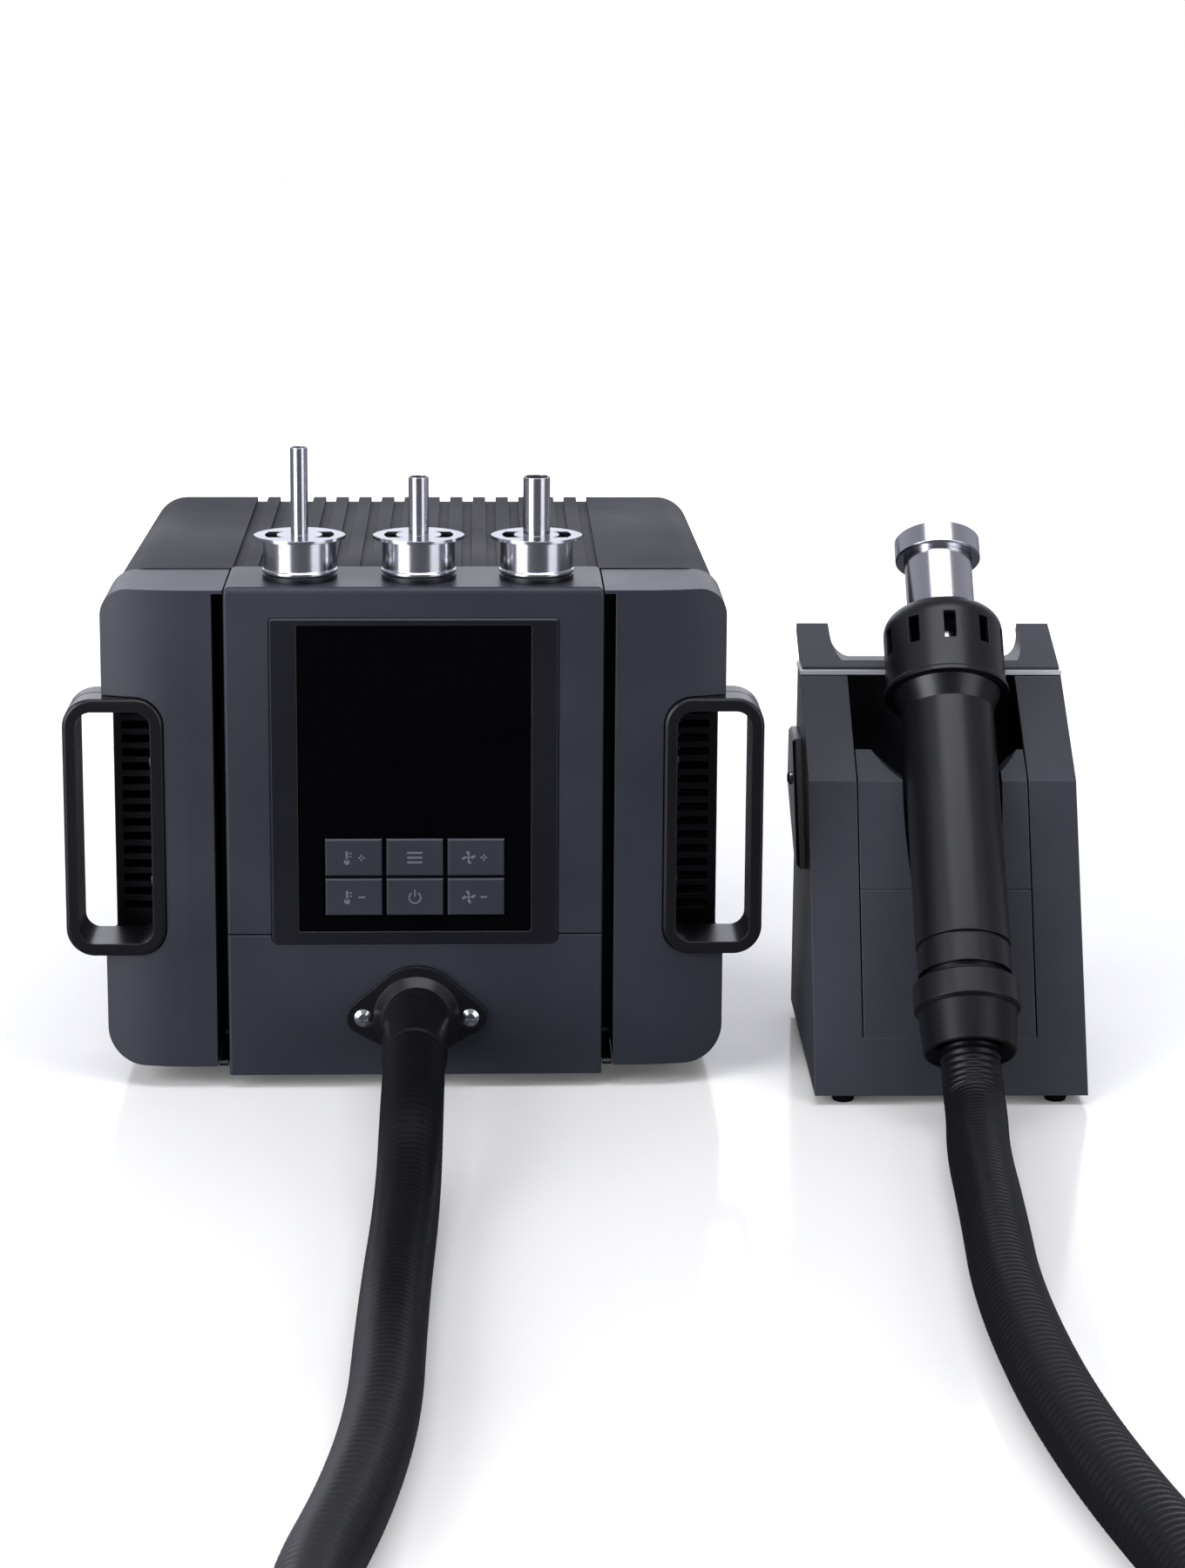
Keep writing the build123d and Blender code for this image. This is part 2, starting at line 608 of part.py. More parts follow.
def power_parts():
    """Transformer, heat sink, capacitors and terminal block on the power board."""
    top = 19.6
    transformer = block((62, 100), (118, 156), (top, top + 34))
    sink = block((66, 106), (80, 108), (top, top + 4))
    for index in range(7):
        x = 66 + index * 6
        sink += block((x, x + 2), (80, 108), (top + 3, top + 28))
    cans = [rod(6, (62, y, top), (62, y, top + 22)) for y in (82, 98)]
    return [transformer, sink, *cans, block((72, 98), (62, 72), (top, top + 12))]


def mains_inlet():
    """Mains inlet with a socket above and the slot of the fuse drawer below."""
    x, y1 = INLET_X, DEPTH - 3
    body = block((x - 14, x + 14), (y1 - 24, y1), (32, 66)) + slab((x - 16, x + 16), (29, 69), (y1, DEPTH), 3)
    body -= slab((x - 12.4, x + 12.4), (47, 63), (y1 - 15, DEPTH + 1), 3)
    for dx, dz in ((-7, -2), (0, 2.5), (7, -2)):
        body += block((x + dx - 1, x + dx + 1), (y1 - 16, y1 - 1), (55 + dz - 2, 55 + dz + 2))
    return body - block((x - 11.3, x + 11.3), (y1 - 20, DEPTH + 1), (34.2, 43.8))


def fuse_drawer():
    """Fuse drawer below the socket, with a finger lip."""
    x, y1 = INLET_X, DEPTH - 3
    drawer = block((x - 11, x + 11), (y1 - 19.5, DEPTH + 0.4), (34.5, 43.5))
    return drawer - block((x - 6, x + 6), (DEPTH - 0.8, DEPTH + 1), (33, 37))


def intake_filter():
    """Foam pad inside the intake slots."""
    return block((-38, 38), (DEPTH - 12, DEPTH - 6.2), (40, 116))


# ---------------------------------------------------------------- stand
def stand_profile(inset):
    """Side profile of the stand's body in its own frame, as (depth, height), moved in by inset."""
    lean = STAND_CREASE[0] / (STAND_CREASE[1] - STAND_GAP)
    low = (inset * 1.2, STAND_GAP - (1 if inset else 0))
    crease = (STAND_CREASE[0] + inset * 0.8, STAND_CREASE[1] - inset * 0.9)
    rim = (STAND_RIM[0] + inset * lean, STAND_RIM[1] - inset * 1.2)
    back_top = (STAND_BACK - inset - 4, STAND_RIM[1] - inset * 1.2)
    back_low = (STAND_BACK - inset, low[1])
    return [low, crease, rim, back_top, back_low]


def stand_prism(profile, half_width):
    """A solid with a (depth, height) profile, across the stand's width."""
    outline = Polyline(*[(0, y, z) for y, z in profile], close=True)
    return extrude(make_face(outline), amount=half_width, dir=(1, 0, 0), both=True)


def handset_frame():
    """The handset's own frame in the stand's frame: Z along its axis, from its rear end to its tip."""
    tilt = radians(HANDSET_TILT)
    rear = (HANDSET_X, *HANDSET_REAR)
    return Plane(origin=rear, x_dir=(1, 0, 0), z_dir=(0, cos(tilt), sin(tilt))).location


def handset_room():
    """The space that the handset takes in the stand, and on its way out, up and to the front."""
    room = []
    runs = (BARREL_RADIUS + 1.3, -20, 142), (COVER_RADIUS + 1.3, 136, COVER_END + 2), (18.6, 180, 240)
    for radius, low, high in runs:
        bar = Pos(0, 0, low) * Cylinder(radius, high - low, align=(Align.CENTER, Align.CENTER, Align.MIN))
        room.append(bar + block((-radius, radius), (-120, 0), (low, high)))
    return handset_frame() * (room[0] + room[1] + room[2])


def stand_body():
    """Outer shell of the stand: two columns, side walls and back, open in the middle of the front."""
    body = stand_prism(stand_profile(0), STAND_WIDTH / 2)
    body = body - stand_prism(stand_profile(WALL), STAND_WIDTH / 2 - WALL)
    body -= block((-CHANNEL_HALF, CHANNEL_HALF), (-1, STAND_BACK - WALL - 2), (CHANNEL_BOTTOM, 200))
    return body


def stand_channel():
    """Centre panel of the stand: a leaning plate with a wide notch where the handset lies in it."""
    low = CHANNEL_BOTTOM
    run = STAND_CREASE[0] / (STAND_CREASE[1] - STAND_GAP)
    rise = (STAND_RIM[1] - STAND_CREASE[1]) / (STAND_RIM[0] - STAND_CREASE[0])
    top_y = 66.0
    top_z = STAND_CREASE[1] + (top_y - STAND_CREASE[0]) * rise
    front = [(run * (low - STAND_GAP), low), (STAND_CREASE[0], STAND_CREASE[1]), (top_y, top_z - 0.6)]
    back = [(top_y + 1, top_z - 5), (STAND_CREASE[0] + 4, STAND_CREASE[1] - 4), (front[0][0] + 4, low)]
    panel = stand_prism(front + back, CHANNEL_HALF - 0.6)
    panel -= rod(38, (HANDSET_X - 2, 40, 149), (HANDSET_X - 2, 90, 149))
    crease_z = 76.0
    crease_y = run * (crease_z - STAND_GAP)
    panel -= block((-40, 40), (crease_y - 2, crease_y + 0.3), (crease_z - 0.25, crease_z + 0.25))
    return panel - handset_room()


def stand_base():
    """Floor plate of the stand, inside the shell."""
    half = STAND_WIDTH / 2 - 2.8
    return block((-half, half), (5.5, STAND_BACK - 3), (STAND_GAP, STAND_GAP + 2.4))


def heat_plate():
    """Polished steel plate across the top of the stand, under the cradle."""
    half = STAND_WIDTH / 2 + 0.2
    low = STAND_RIM[1] + 0.1
    plate = block((-half, half), (STAND_RIM[0] - 0.6, STAND_BACK - 1), (low, low + PLATE_THICK))
    return plate - handset_room()


def stand_cradle():
    """Cradle on the plate: two prongs with a wide sagging notch between them for the handset's neck."""
    low = STAND_RIM[1] + 0.2 + PLATE_THICK
    profile = [(STAND_RIM[0] + 0.6, low), (STAND_RIM[0] + 0.6, low + 1.2), PRONG_TIP,
               (PRONG_TIP[0] + 1.5, PRONG_TIP[1] - 3), (STAND_BACK - 2, low)]
    cradle = stand_prism(profile, CRADLE_HALF)
    half = CRADLE_NOTCH_HALF
    sag = CRADLE_SAG
    left = quarter((-half + sag, low + 1.2 + sag), sag, 180)
    right = quarter((half - sag, low + 1.2 + sag), sag, 270)
    sides = Polyline(left[2], right[0]) + ThreePointArc(*right)
    sides += Polyline(right[2], (half + 1, 200), (-half - 1, 200), left[0]) + ThreePointArc(*left)
    notch = extrude(Plane.XZ.offset(-(STAND_RIM[0] + 5.5)) * make_face(sides), amount=-80)
    return cradle - notch - handset_room()


def side_cap():
    """Side cover of the stand, on its left."""
    half = STAND_WIDTH / 2
    outline = Polyline(*[(0, y, z) for y, z in SIDE_CAP], close=True)
    cap = Pos(-half - 0.1, 0, 0) * extrude(make_face(outline), amount=3.6, dir=(-1, 0, 0))
    cap = chamfer(cap.faces().sort_by(Axis.X)[0].edges(), 1.2)
    return cap - rod(1.6, (-half - 8, *SIDE_SCREW), (-half + 1, *SIDE_SCREW))


def stand_feet():
    """Four small tapered feet."""
    foot = turned((0, 0), (4, 0), (5.2, STAND_GAP - 0.6), (5.2, STAND_GAP), (0, STAND_GAP))
    return [upright(x, y, 0) * foot for x in (-41, 41) for y in (8, STAND_BACK - 9)]


def stand_screws():
    """The screw of the side cover."""
    place = Plane(origin=(-STAND_WIDTH / 2 - 3.7, *SIDE_SCREW), z_dir=(-1, 0, 0)).location
    return place * screw(2.8, 1.6, 1.4, 3.4)


def dock_magnet():
    """Magnet and its holder on the stand's floor, which puts the station to sleep when the handset is in."""
    top = STAND_GAP + 2.4
    return [block((-10, 10), (50, 66), (top, top + 22)), rod(5, (0, 58, top + 22), (0, 58, top + 28))]


# ---------------------------------------------------------------- handset, along its own Z axis
def handset_barrel():
    """Grip of the handset, with a wide dark groove and a thin one near its rear end and a cone in front."""
    r = BARREL_RADIUS
    start = COLLAR_END
    outside = [(r - 2.6, start), (r - 2.6, start + 3.3), (r - 0.3, start + 3.3), (r - 0.3, start + 14),
               (r - 1.1, start + 14), (r - 1.1, start + 15), (r, start + 15.5), (r, BARREL_END),
               (r + 3.2, COVER_START)]
    inside = [(r + 0.6, COVER_START), (r - 3.6, BARREL_END - 4), (r - 3.6, start)]
    return turned(*outside, *inside)


def rear_collar():
    """Screwed collar at the rear of the handset."""
    r = COLLAR_RADIUS
    return turned((13.2, BOOT_LENGTH), (r - 1.2, BOOT_LENGTH), (r, BOOT_LENGTH + 1.2), (r, COLLAR_END - 0.8),
                  (r - 0.8, COLLAR_END), (13.2, COLLAR_END))


def rear_boot():
    """Rubber boot with a wide mouth that the hose goes into."""
    bore = HOSE_DIAMETER / 2 - 2.6
    throat = HOSE_DIAMETER / 2 + 0.1
    lip, mouth = 15.6, -MOUTH_LENGTH
    return turned((bore, 0), (throat, 0), (throat, mouth + 3), (lip, mouth + 0.6), (lip + 0.6, mouth),
                  (lip + 1.2, mouth), (lip + 1.8, mouth + 0.6), (COLLAR_RADIUS - 1.4, BOOT_LENGTH),
                  (bore, BOOT_LENGTH))


def vent_cover():
    """Slotted cover round the hot end, with a ridge at its rear and a rounded shoulder."""
    r, wall, start, end = COVER_RADIUS, 1.8, COVER_START, COVER_END
    shoulder, neck = 9.0, TUBE_RADIUS + 0.2
    outer = quarter((r - shoulder, end - shoulder), shoulder, 0)
    inner = quarter((r - shoulder, end - shoulder), shoulder - wall, 0)
    lines = Polyline(outer[2], (neck, end), (neck, end - wall), inner[2])
    lines += ThreePointArc(*inner)
    lines += Polyline(inner[0], (r - wall, start), (r + 0.9, start), (r + 0.9, start + 1.6), (r, start + 2.4),
                      outer[0])
    lines += ThreePointArc(*outer)
    cover = revolve(Plane.XZ * make_face(lines), Axis.Z)
    for index in range(COVER_SLOTS):
        slot = block((10, 40), (-2.4, 2.4), (start + 14.3, min(start + 27, end - shoulder - 1)))
        cover -= Rot(0, 0, -90 + 360 * index / COVER_SLOTS) * slot
    return cover


def heater_tube():
    """Steel tube that the hot air leaves by, with a mounting disc inside the cover."""
    r = TUBE_RADIUS
    disc, low = 19.5, COVER_START + 2
    return turned((r - 1, low), (disc, low), (disc, low + 1.5), (r, low + 1.5), (r, TUBE_END),
                  (r - 1, TUBE_END))


def heater_core():
    """Ceramic core that carries the heating coil, on a collar behind the steel tube."""
    core = turned((0, BARREL_END), (14, BARREL_END), (14, COVER_START), (10, COVER_START),
                  (10, TUBE_END - 12), (0, TUBE_END - 12))
    for index in range(6):
        hole = rod(2, (6.2, 0, BARREL_END - 1), (6.2, 0, TUBE_END))
        core -= Rot(0, 0, 60 * index) * hole
    return core


def handset_nozzle():
    """Open nozzle ring pushed over the end of the steel tube."""
    r = 17.2
    return turned((TUBE_RADIUS + 0.15, NOZZLE_START), (r - 0.7, NOZZLE_START), (r, NOZZLE_START + 0.7),
                  (r, HANDSET_LENGTH - 0.8), (r - 0.8, HANDSET_LENGTH), (10.6, HANDSET_LENGTH),
                  (10.6, TUBE_END + 0.2), (TUBE_RADIUS + 0.15, TUBE_END + 0.2))


# ---------------------------------------------------------------- hose
def hose_points():
    """The whole route: the list above, then the short way up into the handset's boot."""
    tilt = radians(HANDSET_TILT)
    rear = stand_location() * handset_frame()
    end = rear.position
    back = (rear * Pos(0, 0, -1)).position - end
    upper = end + back * 16
    half_tilt = tilt / 2
    fall = upper.Z - HOSE_DIAMETER / 2
    level = Vector(back.X, back.Y, 0).normalized()
    lower = upper + level * (fall / tan(half_tilt)) - Vector(0, 0, fall)
    return [Vector(*point) for point in HOSE_ROUTE] + [lower, upper, end]


def route_radii(points):
    """The largest arcs that the route's runs leave room for, one for each inner point."""
    radii = []
    for before, here, after in zip(points, points[1:], points[2:]):
        turn = (here - before).get_angle(after - here)
        run = min((here - before).length, (after - here).length)
        radii.append(0.45 * run / tan(radians(turn) / 2))
    return radii


def air_hose():
    """The air hose as one plain tube along straight runs and tangent arcs."""
    points = hose_points()
    radii = route_radii(points)
    path = FilletPolyline(*points, radius=radii)
    print("hose radii", [round(r) for r in radii])
    start = Plane(origin=points[0], z_dir=path % 0)
    tube = sweep(start * Circle(HOSE_DIAMETER / 2), path)
    plain = pi * HOSE_DIAMETER ** 2 / 4 * path.length
    print("hose length", round(path.length, 1), "volume against a plain tube", round(tube.volume / plain, 4))
    return tube


# ---------------------------------------------------------------- assembly
def stand_location():
    """The stand's frame in the station's frame."""
    return Location((*STAND_PLACE, 0), (0, 0, STAND_TURN))


def station_nodes():
    """Every piece of the control unit, in the station's frame."""
    nodes = {
        "top_cover": top_cover(),
        "base_plate": base_plate(),
        "back_panel": back_panel(),
        "front_chassis": front_chassis(),
        "centre_panel": centre_panel(),
        "lower_panel": lower_panel(),
        "display_frame": display_frame(),
        "display_window": display_window(),
        "keypad_mat": keypad_mat(),
        "display_module": display_module(),
        "control_board": control_board(),
        "control_chips": control_chips(),
        "right_front_shell": right_front_shell(),
        "right_louver": right_louver(),
        "right_handle": right_ring(),
        "handle_screws": ring_screws(),
        "nozzle_posts": nozzle_posts(),
        "hose_flange": hose_flange(),
        "flange_screws": flange_screws(),
        "hose_collar": hose_collar(),
        "station_feet": station_feet(),
        "housing_screws": housing_screws(),
        "mains_inlet": mains_inlet(),
        "fuse_drawer": fuse_drawer(),
        "intake_filter": intake_filter(),
        "blower_housing": blower_housing(),
        "blower_impeller": blower_impeller(),
        "blower_motor": blower_motor(),
        "air_duct": air_duct(),
        "power_board": power_board(),
        "power_parts": power_parts(),
    }
    for part in ("front_shell", "louver", "handle"):
        nodes["left_" + part] = mirrored(nodes["right_" + part])
    for row, names in enumerate(KEY_NAMES):
        for column, name in enumerate(names):
            nodes[name] = key(column, row)
    for x, (name, (radius, tip)) in zip(NOZZLE_X, NOZZLE_OUTLETS.items()):
        nodes[name] = spare_nozzle(x, radius, tip)
    return nodes


def stand_nodes():
    """Every piece of the stand, in the stand's frame."""
    return {
        "stand_body": stand_body(),
        "stand_channel": stand_channel(),
        "stand_base": stand_base(),
        "heat_plate": heat_plate(),
        "stand_cradle": stand_cradle(),
        "side_cap": side_cap(),
        "stand_feet": stand_feet(),
        "stand_screws": stand_screws(),
        "dock_magnet": dock_magnet(),
    }


def handset_nodes():
    """Every piece of the handset, in its own frame."""
    return {
        "handset_barrel": handset_barrel(),
        "rear_collar": rear_collar(),
        "rear_boot": rear_boot(),
        "vent_cover": vent_cover(),
        "heater_tube": heater_tube(),
        "heater_core": heater_core(),
        "handset_nozzle": handset_nozzle(),
    }


def placed(place, shape):
    """A piece, or a list of like pieces, moved to its place as one list of solids."""
    pieces = shape if isinstance(shape, list) else [shape]
    return [place * solid for piece in pieces for solid in piece.solids()]


def assembly():
    """All nodes in the final frame, as lists of solids, and the shift from the station's frame."""
    nodes = {name: placed(Location(), shape) for name, shape in station_nodes().items()}
    stand = stand_location()
    nodes.update({name: placed(stand, shape) for name, shape in stand_nodes().items()})
    handset = stand * handset_frame()
    nodes.update({name: placed(handset, shape) for name, shape in handset_nodes().items()})
    box = Compound([solid for solids in nodes.values() for solid in solids]).bounding_box()
    shift = Pos(-box.center().X, -box.center().Y, 0)
    nodes["air_hose"] = placed(Location(), air_hose())
    return {name: [shift * solid for solid in solids] for name, solids in nodes.items()}, shift


def main():
    """Writes one STEP file per node."""
    os.makedirs("parts", exist_ok=True)
    nodes, shift = assembly()
    print("origin in the station's frame", -shift.position)
    for name, solids in nodes.items():
        shape = solids[0] if len(solids) == 1 else Compound(solids)
        shape.label = name
        export_step(shape, f"parts/{name}.step")


main()
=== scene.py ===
from math import cos, radians, sin, tau

import bmesh
import bpy
from mathutils import Euler, Matrix, Vector


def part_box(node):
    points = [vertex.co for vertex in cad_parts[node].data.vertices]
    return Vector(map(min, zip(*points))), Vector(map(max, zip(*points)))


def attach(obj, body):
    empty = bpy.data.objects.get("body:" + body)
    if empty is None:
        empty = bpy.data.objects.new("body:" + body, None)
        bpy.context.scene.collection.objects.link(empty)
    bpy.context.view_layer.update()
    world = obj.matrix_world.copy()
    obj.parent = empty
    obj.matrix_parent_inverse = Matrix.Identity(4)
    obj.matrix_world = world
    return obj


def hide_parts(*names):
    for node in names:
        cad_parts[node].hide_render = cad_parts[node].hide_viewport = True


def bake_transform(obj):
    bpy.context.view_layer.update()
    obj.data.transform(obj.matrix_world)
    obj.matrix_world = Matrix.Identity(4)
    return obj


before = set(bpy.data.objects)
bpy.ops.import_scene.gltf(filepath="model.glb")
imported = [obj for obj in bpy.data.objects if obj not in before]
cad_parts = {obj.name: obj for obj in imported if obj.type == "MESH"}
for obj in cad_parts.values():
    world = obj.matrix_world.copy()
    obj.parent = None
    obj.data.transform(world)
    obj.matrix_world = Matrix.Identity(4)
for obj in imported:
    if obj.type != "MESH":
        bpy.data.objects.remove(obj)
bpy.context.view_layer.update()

MM = 0.001


# ---------------------------------------------------------------- places, all worked out from the frame
def middle(node):
    """The middle of a CAD node's box."""
    low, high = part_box(node)
    return (low + high) / 2


def station_point(x, y, z):
    """A point in the station's frame, in millimetres: X from its middle, Y back from its face, Z up."""
    return Vector((STATION_X, STATION_FACE, 0)) + Vector((x, y, z)) * MM


STATION_X = middle("lower_panel").x
STATION_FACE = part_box("lower_panel")[0].y


# ---------------------------------------------------------------- camera
CAMERA_PLACE = (24.4, -1276.7, 454.3)  # in the station's frame
CAMERA_DOWN = 11.22  # degrees below level
CAMERA_ASIDE = -1.93  # degrees, to the station's right
CAMERA_ROLL = 0.35  # degrees
CAMERA_LENS = 79.18
CAMERA_SHIFT = -0.13


def make_camera():
    """The camera, in front of the station and a little above it."""
    camera = bpy.data.objects.new("camera", bpy.data.cameras.new("camera"))
    bpy.context.scene.collection.objects.link(camera)
    camera.location = station_point(*CAMERA_PLACE)
    level = Euler((radians(90 - CAMERA_DOWN), 0, radians(CAMERA_ASIDE))).to_matrix()
    camera.rotation_euler = (level @ Matrix.Rotation(radians(CAMERA_ROLL), 3, "Z")).to_euler()
    camera.data.lens = CAMERA_LENS
    camera.data.shift_y = CAMERA_SHIFT
    bpy.context.scene.camera = camera


# ---------------------------------------------------------------- materials
BROAD_NOISE = (14, 4)  # cells per metre and detail, for the uneven colour and gloss
BEVEL_SAMPLES = 4
EDGE_HIGHLIGHT_TURN = (0.99, 0.8)  # how far an edge turns the normal before its painted highlight starts, and where the painted highlight is full
# The most that the painted edge highlight colour covers the base colour.
FULL_EDGE_HIGHLIGHT = 0.6


def colour_mix(nodes, links, factor, first, second):
    """A Mix node between two colours, driven by a factor socket."""
    mix = nodes.new("ShaderNodeMix")
    mix.data_type = "RGBA"
    links.new(factor, mix.inputs["Factor"])
    colours = [socket for socket in mix.inputs if socket.type == "RGBA"]
    for socket, value in zip(colours, (first, second)):
        if isinstance(value, tuple):
            socket.default_value = (*value, 1)
        else:
            links.new(value, socket)
    return next(socket for socket in mix.outputs if socket.type == "RGBA")


def noise(nodes, links, scale, detail=2.0, stretch=None):
    """Noise in the object's own coordinates, which are metres."""
    place = nodes.new("ShaderNodeTexCoord").outputs["Object"]
    if stretch:
        mapping = nodes.new("ShaderNodeMapping")
        mapping.inputs["Scale"].default_value = stretch
        links.new(place, mapping.inputs["Vector"])
        place = mapping.outputs["Vector"]
    field = nodes.new("ShaderNodeTexNoise")
    field.inputs["Scale"].default_value = scale
    field.inputs["Detail"].default_value = detail
    links.new(place, field.inputs["Vector"])
    return field.outputs["Fac"]


def ranged(nodes, links, value, low, high, to_low, to_high):
    """A value brought from one range to another, kept inside it."""
    ranger = nodes.new("ShaderNodeMapRange")
    for socket, number in zip(("From Min", "From Max", "To Min", "To Max"), (low, high, to_low, to_high)):
        ranger.inputs[socket].default_value = number
    links.new(value, ranger.inputs["Value"])
    return ranger.outputs["Result"]


def finish(name, colour, roughness, metallic=0.0, specular=0.5, grain=2600, depth=0.02, mottle=0.12, edge=0.5,
           painted_edge_highlight=None, stretch=None, tint=1.0):
    """A procedural finish: uneven colour and gloss, a fine grain, softened edges and, if asked, a lighter
    colour painted along the edges as a painted highlight.

    Grain is in cells per metre, and depth and edge are in millimetres. Tint is the share of a metal's mirror
    light that is left where it is seen almost edge on.
    """
    material = bpy.data.materials.new(name)
    material.use_nodes = True
    nodes, links = material.node_tree.nodes, material.node_tree.links
    shader = nodes["Principled BSDF"]
    shader.inputs["Metallic"].default_value = metallic
    shader.inputs["Specular IOR Level"].default_value = specular
    shader.inputs["Specular Tint"].default_value = (tint, tint, tint, 1)
    broad = noise(nodes, links, *BROAD_NOISE)
    fine = noise(nodes, links, grain, stretch=stretch)
    darker = tuple(channel * (1 - mottle) for channel in colour)
    lighter = tuple(channel * (1 + mottle) for channel in colour)
    base = colour_mix(nodes, links, ranged(nodes, links, broad, 0.35, 0.65, 0, 1), darker, lighter)
    speck = colour_mix(nodes, links, ranged(nodes, links, fine, 0.35, 0.75, 0, 0.5), base, lighter)
    soft = nodes.new("ShaderNodeBevel")
    soft.samples = BEVEL_SAMPLES
    soft.inputs["Radius"].default_value = edge * MM
    # Painted highlight: where the softened normal turns away from the true one, at edges, the colour is mixed
    # towards a lighter one.
    if painted_edge_highlight:
        shape = nodes.new("ShaderNodeNewGeometry")
        turn = nodes.new("ShaderNodeVectorMath")
        turn.operation = "DOT_PRODUCT"
        links.new(shape.outputs["Normal"], turn.inputs[0])
        links.new(soft.outputs["Normal"], turn.inputs[1])
        edge_highlight_share = ranged(nodes, links, turn.outputs["Value"], *EDGE_HIGHLIGHT_TURN, 0, FULL_EDGE_HIGHLIGHT)
        speck = colour_mix(nodes, links, edge_highlight_share, speck, painted_edge_highlight)
    links.new(speck, shader.inputs["Base Color"])
    gloss = ranged(nodes, links, broad, 0.3, 0.7, roughness * 0.88, roughness * 1.14)
    links.new(gloss, shader.inputs["Roughness"])
    bump = nodes.new("ShaderNodeBump")
    bump.inputs["Strength"].default_value = 1
    bump.inputs["Distance"].default_value = depth * MM
    links.new(fine, bump.inputs["Height"])
    links.new(soft.outputs["Normal"], bump.inputs["Normal"])
    links.new(bump.outputs["Normal"], shader.inputs["Normal"])
    return material


# Lighter colours painted along the edges of the finishes below, as a painted highlight.
EDGE_HIGHLIGHT_PALE = (0.11, 0.115, 0.13)
EDGE_HIGHLIGHT_ON_BLACK = (0.04, 0.04, 0.046)
FINISHES = {
    "cover_plastic": dict(colour=(0.0245, 0.0266, 0.0350), roughness=0.42, specular=0.38, depth=0.025,
                          painted_edge_highlight=EDGE_HIGHLIGHT_PALE),
    "case_metal": dict(colour=(0.0155, 0.0160, 0.0205), roughness=0.55, specular=0.1, grain=1800,
                       depth=0.03, painted_edge_highlight=EDGE_HIGHLIGHT_PALE),
    "black_plastic": dict(colour=(0.0042, 0.0042, 0.0055), roughness=0.34, specular=0.4, depth=0.015,
                          painted_edge_highlight=(0.03, 0.03, 0.034)),
    "ring_plastic": dict(colour=(0.0050, 0.0050, 0.0068), roughness=0.30, specular=0.4, depth=0.015,
                         edge=0.8, painted_edge_highlight=EDGE_HIGHLIGHT_ON_BLACK),
    "frame_plastic": dict(colour=(0.0068, 0.0070, 0.0095), roughness=0.32, specular=0.35, depth=0.012,
                          painted_edge_highlight=EDGE_HIGHLIGHT_PALE),
    "black_glass": dict(colour=(0.0012, 0.0012, 0.0016), roughness=0.05, specular=0.05, grain=500,
                        depth=0.0, mottle=0.05, edge=0.3),
    "key_plastic": dict(colour=(0.026, 0.029, 0.038), roughness=0.45, specular=0.4, depth=0.012, edge=0.4,
                        painted_edge_highlight=EDGE_HIGHLIGHT_PALE),
    "rubber": dict(colour=(0.0038, 0.0038, 0.0048), roughness=0.38, specular=0.24, grain=1500, depth=0.02,
                   edge=0.4),
    "silicone": dict(colour=(0.42, 0.40, 0.36), roughness=0.5, specular=0.4, mottle=0.05),
    "display_plastic": dict(colour=(0.03, 0.03, 0.035), roughness=0.25, specular=0.4),
    "board": dict(colour=(0.012, 0.10, 0.04), roughness=0.35, specular=0.5, grain=700, depth=0.03,
                  mottle=0.3),
    "component_black": dict(colour=(0.015, 0.015, 0.016), roughness=0.5, specular=0.4),
    "component_grey": dict(colour=(0.32, 0.32, 0.34), roughness=0.4, metallic=0.8, grain=900),
    "polished_steel": dict(colour=(0.60, 0.60, 0.63), roughness=0.19, metallic=1.0, grain=900, depth=0.004,
                           mottle=0.06, edge=0.35, stretch=(0.12, 0.12, 4.0), tint=0.68),
    "screw_steel": dict(colour=(0.55, 0.55, 0.57), roughness=0.24, metallic=1.0, grain=1500, depth=0.008,
                        mottle=0.1, edge=0.2),
    "foam": dict(colour=(0.02, 0.02, 0.02), roughness=0.9, specular=0.2, grain=600, depth=0.6, mottle=0.3),
    "impeller_plastic": dict(colour=(0.045, 0.045, 0.05), roughness=0.45, specular=0.4),
    "stand_plastic": dict(colour=(0.026, 0.028, 0.0355), roughness=0.42, specular=0.4, depth=0.025,
                          painted_edge_highlight=EDGE_HIGHLIGHT_PALE),
    # A lighter copy of the stand plastic: partly the cradle's own lighter grey, partly painted light for its
    # upward-facing faces.
    "cradle_plastic_with_painted_light": dict(colour=(0.046, 0.048, 0.058), roughness=0.42, specular=0.4, depth=0.025,
                           painted_edge_highlight=EDGE_HIGHLIGHT_PALE),
    "stand_dark": dict(colour=(0.006, 0.006, 0.008), roughness=0.33, specular=0.4, depth=0.015,
                       painted_edge_highlight=EDGE_HIGHLIGHT_ON_BLACK),
    "ceramic": dict(colour=(0.72, 0.68, 0.60), roughness=0.6, specular=0.4, grain=1200, depth=0.04,
                    mottle=0.06),
    # Near-white, mostly diffuse steel: a painted reflection that makes the plate's edge show as a white line.
    "steel_with_painted_reflection": dict(colour=(0.92, 0.92, 0.93), roughness=0.32, metallic=0.4, grain=900, depth=0.006,
                         mottle=0.05, edge=0.3, stretch=(0.12, 4.0, 4.0)),
    "key_print": dict(colour=(0.125, 0.135, 0.155), roughness=0.5, specular=0.3, depth=0.005, edge=0.05),
}
MATERIALS = {name: finish(name, **values) for name, values in FINISHES.items()}


